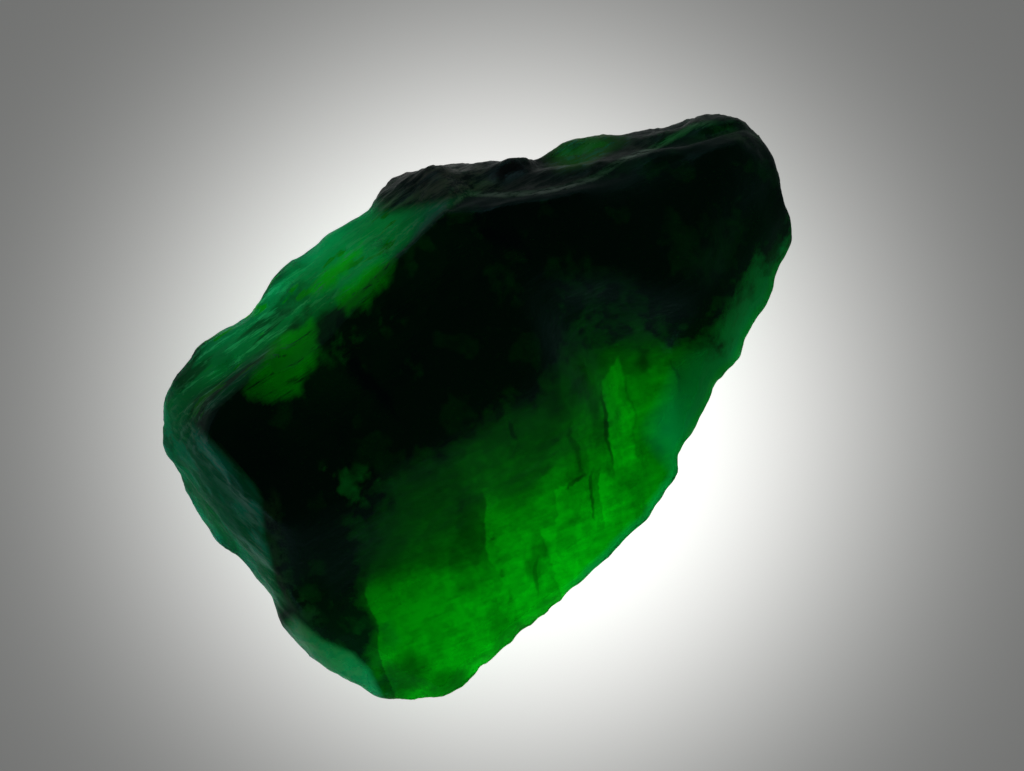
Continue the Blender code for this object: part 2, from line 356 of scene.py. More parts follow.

# %% [markdown]
# ## Soft clouds and dim patches
#
# Under the top the table's light comes through unevenly, and that is painted into the colour:
# paler clouds of painted light in the dark body, brighter and dimmer patches of painted light and
# shade in the lip. Each is a soft oval drawn in plan with a ragged edge. The lip's own patches
# follow the healed cracks, so they are placed in a plan that is turned until the cracks run
# straight.

# %% Ovals drawn in plan
CRACK_TURN = 29.0  # turns the plan so that the cracks run straight up it, in degrees
# Each oval: across, along, half length, half width, turn, strength.
# Clouds of painted light in the dark body, where more of the table's light comes through.
BODY_CLOUD_LIGHT = (
    (-12.8, 0.8, 1.5, 1.1, 60.0, 0.85),
    (-10.3, -1.1, 1.6, 0.9, 20.0, 0.25),
    (-13.3, -2.6, 2.2, 1.4, 0.0, 0.14),
    (-7.6, 7.9, 1.3, 0.9, 40.0, 0.14),
    (-4.6, 7.4, 1.1, 0.8, 30.0, 0.06),
    (-4.9, 3.8, 0.9, 0.6, 30.0, 0.04),
    (3.3, 4.2, 1.6, 0.9, 50.0, 0.05),
    (6.8, 1.6, 2.6, 1.0, 70.0, 0.06),
    (5.65, -1.0, 1.8, 1.0, 60.0, 0.09),
    (8.5, -1.85, 2.2, 1.4, 40.0, 0.07),
    (15.5, -3.2, 3.4, 1.6, 0.0, 0.03),
    (-15.2, -6.3, 1.8, 1.0, 60.0, 0.08),
)
# Dimmer patches in the lip: painted shade, where less of the table's light comes through.
PAINTED_SHADE_PATCHES = (
    (-0.45, -13.2, 2.3, 0.8, 74.0, 0.48),
    (8.75, -1.3, 1.2, 0.8, 70.0, 0.60),
    (-4.4, -9.9, 3.2, 1.1, 90.0, 0.46),
    (-5.4, -12.8, 2.4, 1.4, 90.0, 0.40),
    (6.1, -0.8, 1.1, 0.8, 0.0, 0.32),
    (5.9, -10.6, 1.9, 1.1, 80.0, 0.22),
    (-8.2, -19.9, 2.4, 1.2, 0.0, 0.55),
    (-3.7, -17.0, 2.2, 1.3, 80.0, 0.44),
    (-10.7, -19.1, 3.0, 2.1, 30.0, 0.72),
    (-10.4, -10.6, 2.4, 1.8, 60.0, 0.30),
    (5.1, -4.8, 2.3, 0.8, 92.0, 0.42),
    (-0.9, -8.4, 1.8, 1.2, 20.0, 0.25),
    (6.9, -8.9, 1.6, 0.9, 60.0, 0.25),
    (-0.8, -16.0, 1.2, 0.8, 0.0, 0.25),
    (8.3, -7.3, 1.6, 0.9, -56.0, 0.35),
)
# Brighter patches in the lip: painted light, where more of the table's light comes through.
PAINTED_LIGHT_PATCHES = (
    (-2.45, -6.3, 2.4, 2.0, 80.0, 0.52),
    (2.35, -7.3, 1.2, 0.8, 80.0, 0.44),
    (-8.4, -6.8, 3.0, 1.6, 10.0, 0.14),
    (1.8, -9.6, 1.8, 1.2, 10.0, 0.38),
    (-3.5, -5.4, 1.5, 1.1, 60.0, 0.44),
    (6.7, -5.0, 1.4, 0.8, 90.0, 1.5),
)


def strongest_oval(ovals, across, along):
    """For each place, the strongest of the ovals there, fading from its middle to its edge."""
    strongest = np.zeros(len(across))
    for middle_across, middle_along, half_length, half_width, turn, strength in ovals:
        angle = math.radians(turn)
        sideways = across - middle_across
        upward = along - middle_along
        lengthwise = (sideways * math.cos(angle) + upward * math.sin(angle)) / half_length
        crosswise = (upward * math.cos(angle) - sideways * math.sin(angle)) / half_width
        here = strength * (1 - ramp(np.hypot(lengthwise, crosswise), 0.3, 1.1))
        strongest = np.maximum(strongest, here)
    return strongest

# %% Turn the ovals into patterns
x, y, z = points.T
crack_angle = math.radians(CRACK_TURN)
across_cracks = x * math.cos(crack_angle) - y * math.sin(crack_angle)
along_cracks = x * math.sin(crack_angle) + y * math.cos(crack_angle)
patterns["body_cloud_light"] = strongest_oval(BODY_CLOUD_LIGHT, x + ragged, y - ragged)
patterns["painted_shade_patches"] = strongest_oval(PAINTED_SHADE_PATCHES, across_cracks + 0.5 * ragged, along_cracks)
patterns["painted_light_patches"] = strongest_oval(PAINTED_LIGHT_PATCHES, across_cracks + 0.5 * ragged, along_cracks)
print(f"ovals: {len(BODY_CLOUD_LIGHT)} clouds, {len(PAINTED_SHADE_PATCHES)} dim and {len(PAINTED_LIGHT_PATCHES)} bright patches")

# %% Face masks
nz = smooth_normals[:, 2]
outside = ramp(beyond_crest, -0.25, 0.35)
behind = ramp(x, -19.6, -17.2) * ramp(y, 8.2, 10.4)
in_lip = 1 - outside
near_outline = 1 - ramp(from_rim, 0.8, 2.4)
brown_part = ramp(y, -5.5, -4.0) * (1 - ramp(y, 2.5, 4.0))
far_left = 1 - ramp(x, -19.0, -17.0)
before_tip = 1 - ramp(x, 20.0, 21.5)
# In each ramp, two lengths in millimetres, or two values of the surface's direction.
masks = {
    "grooved": outside * ramp(x, -21.0, -19.4) * ramp(y, 6.4, 8.4) * (1 - ramp(x, 3.6, 6.0)),
    "broken_end": outside * (1 - behind) * (1 - ramp(x, -17.0, -15.0)) * ramp(y, -3.2, -0.8),
    "chipped_corner": ramp(beyond_crest, 0.0, 0.5) * (1 - ramp(y, -4.6, -3.2)) * far_left,
    "knob": outside * ramp(x, -0.8, 1.0) * ramp(y - 0.55 * (2.0 - x), 11.2, 12.2) * (1 - ramp(x, 6.6, 7.6)),
    "rusty_ridge": outside * ramp(x, 4.6, 6.4),
    "lobe": ramp(x, 10.2, 12.0) * (1 - ramp(x, 14.2, 16.6)) * ramp(beyond_crest, 0.7, 1.4),
    "underside": ramp(-nz, 0.2, 0.6),
    "window": ramp(in_window + 0.25 * ragged, -0.3, 0.4) * ramp(nz, 0.0, 0.2),
    "brown_crest": ramp(0.7 - np.abs(beyond_crest + 0.6), 0.0, 0.4) * brown_part,
    # A painted highlight along the crest behind the knob.
    "crest_painted_highlight": ramp(0.22 - np.abs(beyond_crest), 0.0, 0.16) * ramp(x, 3.0, 5.5) * before_tip,
    "front_rim": (1 - ramp(from_rim, 0.1, 0.6)) * in_lip * (1 - ramp(y, -4.5, -2.5)) * ramp(x, -7, -4),
    "teal_margin": (1 - ramp(from_rim, 1.2, 3.4)) * in_lip * (1 - ramp(y, -4.0, -1.5)) * ramp(x, 3.5, 6.5),
    "worn_edge": np.maximum(ramp(beyond_crest, -2.2, -0.8), near_outline) * ramp(-nz, -0.95, -0.8),
    "flat_top": ramp(nz, 0.86, 0.97) * ramp(z, 6.8, 8.0),
    "lip": ramp(nz, 0.8, 0.93) * (1 - ramp(z, 6.8, 8.0)),
}
print(f"masks: {', '.join(masks)}")

# %% Store the masks on the mesh
def store_mask(mesh, name, values):
    mask = mesh.attributes.new(name, "FLOAT", "POINT")
    mask.data.foreach_set("value", values.astype(np.float32))


for name, values in (masks | patterns).items():
    store_mask(skin, name, values)
    print(f"{name}: {100 * values.mean():.0f}% of the surface")
store_mask(skin, "beyond_crest", beyond_crest)
store_mask(skin, "in_body", in_body)

# %% [markdown]
# ## Fine relief
#
# What a hand would feel: growth lines along the grooved wall, hackle on the broken end,
# shallow ripples on the top and the lip, chips along the ridges and small round pits. Every
# kind is a short noise function of the place, and its mask says where it counts. The push is
# along the surface's own direction, so the outline gets the same roughness as the faces.

# %% The noise behind the relief
growth_lines = sampled(noise.noise, (0.12, 2.2, 2.2), (3, 0, 9))
fine_lines = sampled(noise.noise, (0.25, 5.0, 5.0), (5, 1, 0))
hackle = 0.6 * sampled(ridged, (0.9, 0.9, 0.9), (4, 4, 4)) + 0.4 * sampled(ridged, (2.1, 2.1, 2.1))
end_lines = sampled(noise.noise, (2.4, 0.35, 1.3), (1, 2, 8))
ripples = sampled(noise.noise, (0.7, 1.9, 1.9), (7, 7, 1))
grain = sampled(noise.noise, (3.2, 3.2, 3.2))
shells = sampled(shell, (0.8, 0.8, 0.8))
small_shells = sampled(shell, (1.9, 1.9, 1.9), (8, 2, 3))
pit_cells = sampled(shell, (0.62, 0.62, 0.62), (2, 9, 4))
print(f"hackle from {hackle.min():.2f} to {hackle.max():.2f}, ripples to {ripples.max():.2f}")

# %% How far each place is pushed
PIT_DEPTH = 0.16

on_ridge = ramp(ridges, 0.015, 0.09) * (1 - masks["flat_top"])
resting = ramp(-z, -0.05, -0.01)
rough_wall = np.maximum(masks["knob"], masks["rusty_ridge"])
# Each factor beside a noise is its height in millimetres.
push = masks["grooved"] * (0.07 * growth_lines + 0.05 * fine_lines)
push += masks["broken_end"] * (0.06 * hackle + 0.08 * end_lines)
push += rough_wall * (0.08 * hackle + 0.05 * fine_lines)
push += masks["lip"] * (0.03 * ripples + 0.010 * grain)
push += masks["flat_top"] * (0.02 * ripples + 0.008 * grain)
push += masks["underside"] * (0.03 * ripples + 0.02 * hackle)
push += on_ridge * (0.10 * shells + 0.08 * small_shells - 0.03)
push += 0.02 * small_shells
push -= PIT_DEPTH * ramp(-pit_cells, 0.40, 0.55) * outside
push *= 1 - resting
print(f"relief: {push.min():.2f} to {push.max():.2f} mm")

# %% Push the points
BOX_MARGIN = 0.02  # how far the skin stays inside the solid's box

points = points + push[:, None] * smooth_normals
box_low = np.array(low) / MM + BOX_MARGIN
box_high = np.array(high) / MM - BOX_MARGIN
box_low[2] = 0.0
points = np.clip(points, box_low, box_high)
store_points(skin, points)
store_mask(skin, "worn", ramp(ridges + 0.03 * small_shells, 0.02, 0.11))
print(f"skin: {points[:, 2].max():.2f} mm high")

# %% [markdown]
# ## The finer skin takes the solid's place
#
# Along the front rim and just above the grooved wall the skin turns down quickly. A smooth
# gloss there would mirror the lit table as a hard pale band, where real stone is too finely
# frosted for that. Custom normals that lean upwards keep the light soft on those places,
# and leave the shape alone.

# %% Lean the normals upwards where the skin turns down
EDGE_LIFT = 0.9

skin.transform(Matrix.Scale(MM, 4))
skin.shade_smooth()
along_front = (1 - ramp(from_rim, 2.8, 4.2)) * ramp(x, -20.5, -18.5) * (1 - ramp(y, -4.0, -1.5))
above_wall = along_wall * ramp(beyond_crest, -3.0, -2.0) * (1 - ramp(beyond_crest, 0.0, 0.8))
lift = EDGE_LIFT * np.maximum(along_front, above_wall) * ramp(nz, 0.0, 0.3)
shading = unit_rows(normal_array(skin) + lift[:, None] * np.array((0.0, 0.0, 1.0)))
skin.normals_split_custom_set_from_vertices(shading.tolist())
print(f"leaning: {100 * (lift > 0).mean():.0f}% of the surface")

# %% Put the stone in the scene
stone = bpy.data.objects.new("rough_emerald", skin)
bpy.context.scene.collection.objects.link(stone)
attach(stone, "root")
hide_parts("emerald_crystal")
print(f"stone: {sum(len(face.vertices) - 2 for face in skin.polygons)} triangles")

# %% [markdown]
# ## Small helpers for shader nodes
#
# A material is a drawing of boxes and wires. A few short helpers keep the wiring readable:
# they add a node and fill its sockets, do arithmetic, mix two colours, turn a value into a
# soft step, and make and place node groups.

# %% Node helpers
def add(tree, kind, inputs=None, **settings):
    """A node of this kind, with its settings, and its inputs filled with values or wires."""
    made = tree.nodes.new("ShaderNode" + kind)
    for name, value in settings.items():
        setattr(made, name, value)
    for key, value in (inputs or {}).items():
        if isinstance(value, bpy.types.NodeSocket):
            tree.links.new(value, made.inputs[key])
        else:
            made.inputs[key].default_value = value
    return made


def calc(tree, operation, *values, clamp=False):
    """One step of arithmetic."""
    made = add(tree, "Math", dict(enumerate(values)), operation=operation, use_clamp=clamp)
    return made.outputs[0]


def blend_colours(tree, share, under, over, how="MIX"):
    """The colour under, with this share of the colour over laid on it."""
    made = add(tree, "Mix", data_type="RGBA", blend_type=how, clamp_factor=True)
    for socket, value in ((made.inputs[0], share), (made.inputs[6], under), (made.inputs[7], over)):
        if isinstance(value, bpy.types.NodeSocket):
            tree.links.new(value, socket)
        else:
            socket.default_value = value
    return made.outputs[2]


def smooth_step(tree, value, start, end):
    """0 before start, 1 after end, smooth between them."""
    made = add(tree, "MapRange", {"Value": value, "From Min": start, "From Max": end},
               interpolation_type="SMOOTHSTEP")
    return made.outputs["Result"]

# %% Node group helpers
def new_group(name, inputs, outputs):
    """An empty node group with these sockets, and its two end nodes."""
    group = bpy.data.node_groups.new(name, "ShaderNodeTree")
    for label, kind, value in inputs:
        socket = group.interface.new_socket(name=label, in_out="INPUT", socket_type="NodeSocket" + kind)
        if value is not None:
            socket.default_value = value
    for label, kind in outputs:
        group.interface.new_socket(name=label, in_out="OUTPUT", socket_type="NodeSocket" + kind)
    start = group.nodes.new("NodeGroupInput")
    end = group.nodes.new("NodeGroupOutput")
    return group, start, end


def use_group(tree, group, inputs):
    """The output of a group placed with these inputs."""
    made = tree.nodes.new("ShaderNodeGroup")
    made.node_tree = group
    for key, value in inputs.items():
        if isinstance(value, bpy.types.NodeSocket):
            tree.links.new(value, made.inputs[key])
        else:
            made.inputs[key].default_value = value
    return made.outputs[0]

# %% [markdown]
# ## Healed cracks
#
# Inside the lip the stone is crossed by cracks that healed with a veil of tiny bubbles. Seen
# with light behind, each is a sharp line with the brightest stone right beside it, and the
# veil dims away from the line. That bright stone is painted light: the table's glow coming
# through, painted into the base colour. They all run the same way, across the crystal's length.
# One group makes the painted glow beside one crack, another makes a short dark crack, and the
# stone uses each of them several times.

# %% The group for the painted glow beside a healed crack
def painted_glow_group():
    group, start, end = new_group(
        "painted_glow_beside_crack",
        (("Across", "Float", None), ("Along", "Float", None), ("Line", "Float", 0.0),
         ("Lean", "Float", 0.0), ("Lowest", "Float", -10.0), ("Highest", "Float", 0.0),
         ("Top Slant", "Float", 0.0), ("Width", "Float", 10.0), ("Reach", "Float", 2.0),
         ("Strength", "Float", 1.0), ("Top Softness", "Float", 0.5), ("Foot Softness", "Float", 1.5)),
        (("Glow", "Float"),))
    given = start.outputs
    from_lowest = calc(group, "SUBTRACT", given["Along"], given["Lowest"])
    here = calc(group, "MULTIPLY_ADD", given["Lean"], from_lowest, given["Line"])
    beside = calc(group, "SUBTRACT", given["Across"], here)
    top = calc(group, "MULTIPLY_ADD", given["Top Slant"], beside, given["Highest"])
    to_highest = calc(group, "SUBTRACT", top, given["Along"])
    near_side = smooth_step(group, beside, -0.08, 0.10)
    far_side = smooth_step(group, calc(group, "SUBTRACT", given["Width"], beside), 0.0, 0.35)
    reaches_away = calc(group, "DIVIDE", beside, given["Reach"])
    fade = calc(group, "EXPONENT", calc(group, "MULTIPLY", reaches_away, -1.0))
    above = smooth_step(group, calc(group, "DIVIDE", from_lowest, given["Foot Softness"]), 0.0, 1.0)
    below = smooth_step(group, calc(group, "DIVIDE", to_highest, given["Top Softness"]), 0.0, 1.0)
    sides = calc(group, "MULTIPLY", near_side, far_side)
    ends = calc(group, "MULTIPLY", above, below)
    veil = calc(group, "MULTIPLY", calc(group, "MINIMUM", fade, 1.0), given["Strength"])
    glow = calc(group, "MULTIPLY", calc(group, "MULTIPLY", sides, ends), veil)
    group.links.new(glow, end.inputs["Glow"])
    return group


painted_glow_beside_crack = painted_glow_group()
print(f"lit crack group: {len(painted_glow_beside_crack.nodes)} nodes")

# %% The group for a short dark crack
def dark_crack_group():
    """A thin oval that is 1 in its middle."""
    group, start, end = new_group(
        "dark_crack",
        (("Across", "Float", None), ("Along", "Float", None), ("Middle Across", "Float", 0.0),
         ("Middle Along", "Float", 0.0), ("Half Length", "Float", 1.0), ("Half Width", "Float", 0.2),
         ("Turn", "Float", 0.0), ("Strength", "Float", 1.0)),
        (("Mask", "Float"),))
    given = start.outputs
    sideways = calc(group, "SUBTRACT", given["Across"], given["Middle Across"])
    upward = calc(group, "SUBTRACT", given["Along"], given["Middle Along"])
    offset = add(group, "CombineXYZ", {0: sideways, 1: upward}).outputs[0]
    back_turn = calc(group, "MULTIPLY", given["Turn"], -1.0)
    turned = add(group, "VectorRotate", {"Vector": offset, "Angle": back_turn},
                 rotation_type="Z_AXIS").outputs[0]
    parts = add(group, "SeparateXYZ", {0: turned}).outputs
    lengthwise = calc(group, "DIVIDE", parts["X"], given["Half Length"])
    crosswise = calc(group, "DIVIDE", parts["Y"], given["Half Width"])
    away = calc(group, "ADD", calc(group, "MULTIPLY", lengthwise, lengthwise),
                calc(group, "MULTIPLY", crosswise, crosswise))
    darkening = calc(group, "MULTIPLY", smooth_step(group, away, 1.0, 0.2), given["Strength"])
    group.links.new(darkening, end.inputs["Mask"])
    return group


dark_crack = dark_crack_group()
print(f"dark crack group: {len(dark_crack.nodes)} nodes")

# %% [markdown]
# ## The emerald
#
# One material for the whole stone, because the light is absorbed between one side and the
# other, and both have to belong to the same glass. Beryl bends light by 1.58. A Volume
# Absorption takes red away within half a millimetre, blue within a few, and green over many.
# The base colour then tints what passes at the skin: clear on the lip, teal on the frosted
# walls, and dull brown where mica still clings. Over the dark body it is nearly black, painted
# shade that deepens the dark of the thick stone.

# %% The emerald's values
BERYL_IOR = 1.58
ABSORPTION_PER_METRE = 1850.0
ABSORPTION_COLOUR = (0.0, 0.81, 0.6, 1)
CLEAR_SHARE = 0.8
SURFACE_GLOSS = 0.25
GLINT_TINT = (0.35, 0.90, 0.90, 1)
FROST_ROUGHNESS = 0.65
FROST_IOR = 1.7
MICA_SHEEN = 0.7

CLEAR_GREEN = (0.0, 1.0, 0.0005, 1)
INNER_GREEN = (0.05, 1.0, 0.35, 1)
# Painted shade and light: the dark body's near-black colour, deeper than the thick stone's own absorption,
# and the paler green of its clouds where more light comes through.
DARK_BODY_SHADE = (0.0005, 0.003, 0.0045, 1)
CLOUD_LIGHT = (0.02, 0.75, 0.20, 1)
TEAL_DEEP = (0.0, 0.035, 0.022, 1)
TEAL_FROST = (0.0, 0.64, 0.54, 1)
WINDOW_GREEN = (0.0, 0.35, 0.0005, 1)
# White fibres: partly their own white, partly painted glints.
FIBRE_AND_GLINT_WHITE = (0.25, 0.90, 0.95, 1)
END_DEEP = (0.0, 0.46, 0.42, 1)
END_TEAL = (0.0, 0.95, 0.95, 1)
# Pale streaks on the broken end: partly their own, partly painted reflection near the crest.
END_STREAK_AND_SHEEN = (0.18, 0.95, 1.0, 1)
CHIPPED_DEEP = (0.05, 0.60, 0.66, 1)
CHIPPED_PALE = (0.55, 0.70, 0.78, 1)
MICA_DARK = (0.010, 0.002, 0.004, 1)
# The knob's pale mica: partly the mica's own grey, partly a painted highlight.
MICA_PALE_AND_HIGHLIGHT = (0.28, 0.12, 0.12, 1)
MICA_BROWN = (0.12, 0.08, 0.08, 1)
RIDGE_GREY = (0.05, 0.012, 0.025, 1)
LOBE_GREEN = (0.35, 0.60, 0.14, 1)
# The painted highlight along the crest behind the knob.
CREST_HIGHLIGHT_PAINT = (0.45, 0.50, 0.55, 1)
RIM_TEAL = (0.0, 0.50, 0.10, 1)
MARGIN_TEAL = (0.0, 0.34, 0.26, 1)
SCUFF = (0.40, 0.50, 0.55, 1)

# %% Reading the place and the masks
material = bpy.data.materials.new("emerald")
material.use_nodes = True
stone_tree = material.node_tree
place = add(stone_tree, "VectorMath", {0: add(stone_tree, "TexCoord").outputs["Object"], 1: (1 / MM,) * 3},
            operation="MULTIPLY").outputs[0]


def mask(name):
    """The value stored on the mesh under this name."""
    return add(stone_tree, "Attribute", attribute_name=name).outputs["Fac"]


def speckle(stretch, scale=1.0, detail=3.0, roughness=0.6, shift=(0, 0, 0), turn=0.0):
    """Noise over the place in millimetres, turned about the vertical and then stretched."""
    aligned = add(stone_tree, "VectorRotate", {"Vector": place, "Angle": math.radians(-turn)},
                  rotation_type="Z_AXIS").outputs[0]
    moved = add(stone_tree, "Mapping", {"Vector": aligned, "Scale": stretch, "Location": shift}).outputs[0]
    return add(stone_tree, "TexNoise", {"Vector": moved, "Scale": scale, "Detail": detail,
                                        "Roughness": roughness}).outputs["Fac"]


def centred(value, reach):
    """Noise moved to run from about -reach to reach."""
    return calc(stone_tree, "MULTIPLY", calc(stone_tree, "SUBTRACT", value, 0.5), 2 * reach)


def lerp(value, start, end, low_end, high_end):
    """low_end where the value is start, high_end where it is end, straight between them."""
    made = add(stone_tree, "MapRange", {"Value": value, "From Min": start, "From Max": end,
                                        "To Min": low_end, "To Max": high_end})
    return made.outputs["Result"]


def times(*values):
    """All these values multiplied."""
    product = values[0]
    for value in values[1:]:
        product = calc(stone_tree, "MULTIPLY", product, value)
    return product

# %% The place as the cracks see it
turned = add(stone_tree, "VectorRotate", {"Vector": place, "Angle": math.radians(CRACK_TURN)},
             rotation_type="Z_AXIS").outputs[0]
crack_parts = add(stone_tree, "SeparateXYZ", {0: turned}).outputs
wander = centred(mask("wander"), 0.35)
fray = centred(speckle((1, 1, 1), 2.4, 2.0, shift=(4, 1, 0)), 0.24)
across = calc(stone_tree, "ADD", crack_parts["X"], calc(stone_tree, "ADD", wander, fray))
along = calc(stone_tree, "ADD", crack_parts["Y"], calc(stone_tree, "MULTIPLY", fray, 2.0))
crack_place = {"Across": across, "Along": along}
print(f"the plan is turned by {CRACK_TURN:.0f} degrees for the cracks")

# %% Where the healed cracks run
# The painted glow beside each healed crack: line, lean, lowest, highest, top slant, width, reach,
# strength, top softness, foot softness.
PAINTED_CRACK_GLOW = (
    (-3.35, 0.00, -18.0, -6.6, 0.0, 12.0, 4.0, 1.15, 2.6, 1.6),
    (0.90, -0.12, -17.0, -10.6, 0.25, 6.0, 4.5, 1.10, 0.9, 1.0),
    (0.95, 0.06, -12.8, -8.4, 0.15, 3.0, 3.2, 1.00, 0.4, 1.2),
    (4.30, 0.10, -12.4, -7.2, -1.1, 2.20, 2.2, 1.10, 0.9, 1.2),
    (5.75, -0.01, -9.8, -2.0, 0.78, 2.05, 4.5, 1.04, 0.35, 3.0),
    (7.70, 0.00, -9.8, -1.95, 0.03, 3.05, 4.0, 0.42, 0.35, 5.4),
    (2.65, 0.00, -7.0, -0.6, 0.0, 3.2, 3.0, 0.20, 1.6, 2.0),
    (3.80, -0.02, -9.2, -3.4, 0.0, 2.4, 3.0, 0.42, 1.2, 2.4),
    (-0.80, 0.04, -8.0, -2.6, 0.0, 3.8, 4.0, 0.26, 0.9, 2.4),
    (-11.90, 0.00, -21.5, -11.5, 0.0, 9.4, 16.0, 1.32, 1.7, 0.8),
)
# Short dark cracks: middle across, middle along, half length, half width, turn, strength.
DARK_CRACKS = (
    (2.9, -8.35, 1.15, 0.16, 22.0, 0.55),
    (-0.32, -4.3, 0.95, 0.18, 90.0, 0.5),
    (10.85, -3.0, 1.6, 0.16, 91.0, 0.5),
    (5.60, -5.4, 2.8, 0.24, 92.0, 0.55),
    (4.02, -9.4, 2.1, 0.18, 87.0, 0.5),
    (3.25, -6.0, 2.0, 0.22, 86.0, 0.35),
    (-0.70, -14.0, 1.7, 0.22, 72.0, 0.35),
)
print(f"cracks: {len(DARK_CRACKS)} dark, {len(PAINTED_CRACK_GLOW)} with lit stone beside them")

# %% Place the cracks
DARK_INPUTS = ("Middle Across", "Middle Along", "Half Length", "Half Width", "Turn", "Strength")
LIT_INPUTS = ("Line", "Lean", "Lowest", "Highest", "Top Slant", "Width", "Reach", "Strength",
              "Top Softness", "Foot Softness")

darkest = None
for row in DARK_CRACKS:
    values = dict(zip(DARK_INPUTS, row))
    values["Turn"] = math.radians(values["Turn"])
    one = use_group(stone_tree, dark_crack, crack_place | values)
    darkest = one if darkest is None else calc(stone_tree, "MAXIMUM", darkest, one)

# Painted light: the table's glow beside the cracks and in the bright patches.
glow = mask("painted_light_patches")
for row in PAINTED_CRACK_GLOW:
    one = use_group(stone_tree, painted_glow_beside_crack, crack_place | dict(zip(LIT_INPUTS, row)))
    glow = calc(stone_tree, "MAXIMUM", glow, one)
print(f"cracks placed: {len(stone_tree.nodes)} nodes so far")

# %% [markdown]
# ## The lip's brightness
#
# Between the cracks the lip is never even. Feathers run across it, a soft mottle lies under
# them, and the cracks cut it into long shards, each a little brighter or darker than the
# next. A Voronoi pattern stretched along the cracks gives the shards. All of these are
# factors near one, so they multiply.

# %% Feathers, mottle and shards
VEILED_BRIGHTNESS = 0.50
SHARD_WIDTH = 1.3
SHARD_LENGTH = 3.4

feathers = speckle((0.30, 2.4, 1.0), 1.0, 3.0, 0.68, turn=-18)
mottle = speckle((1, 1, 1), 0.9, 4.0, 0.68, (1, 6, 2))
# The lip's brightness is painted light: the table's glow coming through, painted into the base colour, with
# the painted glow beside the cracks and the painted patches.
bright = calc(stone_tree, "MULTIPLY_ADD", glow, 1 - VEILED_BRIGHTNESS, VEILED_BRIGHTNESS)
bright = times(bright, calc(stone_tree, "SUBTRACT", 1.0, darkest),
               calc(stone_tree, "SUBTRACT", 1.0, mask("painted_shade_patches")))
shard_across = calc(stone_tree, "MULTIPLY", across, 1 / SHARD_WIDTH)
shard_along = calc(stone_tree, "MULTIPLY", along, 1 / SHARD_LENGTH)
shard_place = add(stone_tree, "CombineXYZ", {0: shard_across, 1: shard_along}).outputs[0]
shards = add(stone_tree, "TexVoronoi", {"Vector": shard_place, "Scale": 1.0}, voronoi_dimensions="2D")
shard = add(stone_tree, "SeparateColor", {0: shards.outputs["Color"]}).outputs[0]
bright = times(bright, lerp(feathers, 0.36, 0.64, 0.88, 1.10), lerp(mottle, 0.36, 0.64, 0.78, 1.16))
bright = times(bright, lerp(shard, 0.0, 1.0, 0.88, 1.08))
bright = times(bright, bright)  # glass tints by the square root of its base colour
brightness = add(stone_tree, "CombineColor", {0: bright, 1: bright, 2: bright}).outputs[0]
colour = blend_colours(stone_tree, 1.0, CLEAR_GREEN, brightness, "MULTIPLY")
colour = blend_colours(stone_tree, mask("teal_margin"), colour, MARGIN_TEAL)
colour = blend_colours(stone_tree, mask("front_rim"), colour, RIM_TEAL)
print(f"lip: {len(stone_tree.nodes)} nodes so far")

# %% The dark body's painted shade and its clouds of painted light
body_edge = calc(stone_tree, "ADD", mask("in_body"), centred(mask("cloud_pattern"), 0.7))
body_edge = calc(stone_tree, "ADD", body_edge, centred(mottle, 1.6))
body = smooth_step(stone_tree, body_edge, -1.0, 0.8)
faint_clouds = smooth_step(stone_tree, mask("cloud_pattern"), 0.76, 0.98)
cloud_share = calc(stone_tree, "MULTIPLY_ADD", faint_clouds, 0.03, mask("body_cloud_light"), clamp=True)
cloud_share = times(cloud_share, lerp(mottle, 0.36, 0.60, 0.25, 1.1))
# Painted shade: the near-black dark body, with paler clouds of painted light in it.
dark = blend_colours(stone_tree, cloud_share, DARK_BODY_SHADE, CLOUD_LIGHT)
colour = blend_colours(stone_tree, body, colour, dark)
print(f"dark body: {len(stone_tree.nodes)} nodes so far")

# %% [markdown]
# ## The walls
#
# The grooved wall is the crystal's own growth face: clear green behind a thin teal frost, with
# white fibres along the grooves, their white partly painted glints. The broken end is frosted all
# over and streaked downwards, palest near the crest, where the pale streaks are partly painted
# reflection. Where the noise is stretched along a direction, the streaks follow it.

# %% The grooved wall
fibres = speckle((0.14, 2.4, 2.4), 1.0, 4.0, 0.78, turn=-8)
along_stone = add(stone_tree, "SeparateXYZ", {0: place}).outputs["X"]
lighter = smooth_step(stone_tree, calc(stone_tree, "ADD", along_stone, centred(mottle, 3.0)), -9.5, -4.5)
frost_share = calc(stone_tree, "MULTIPLY", smooth_step(stone_tree, mask("broad_fibres"), 0.35, 0.75), 0.35)
frost_share = calc(stone_tree, "MULTIPLY_ADD", lighter, 0.8, frost_share, clamp=True)
frost = blend_colours(stone_tree, frost_share, TEAL_DEEP, TEAL_FROST)
frayed_windows = calc(stone_tree, "ADD", mask("wall_windows"), centred(fibres, 0.3))
window = smooth_step(stone_tree, frayed_windows, 0.74, 0.84)
frost = blend_colours(stone_tree, window, frost, WINDOW_GREEN)
# The fibres' white is partly painted glints.
fibre_share = smooth_step(stone_tree, fibres, 0.52, 0.62)
fibre_share = times(fibre_share, lerp(mask("broad_fibres"), 0.2, 0.8, 0.2, 1.0))
frost = blend_colours(stone_tree, times(fibre_share, 0.85), frost, FIBRE_AND_GLINT_WHITE)
colour = blend_colours(stone_tree, mask("grooved"), colour, frost)
print(f"grooved wall: {len(stone_tree.nodes)} nodes so far")

# %% The broken end and its chipped corner
end_waves = speckle((2.2, 0.30, 0.8), 1.0, 4.0, 0.74, turn=10)
end_patches = smooth_step(stone_tree, mask("broad_waves"), 0.3, 0.7)
end_skin = blend_colours(stone_tree, end_patches, END_DEEP, END_TEAL)
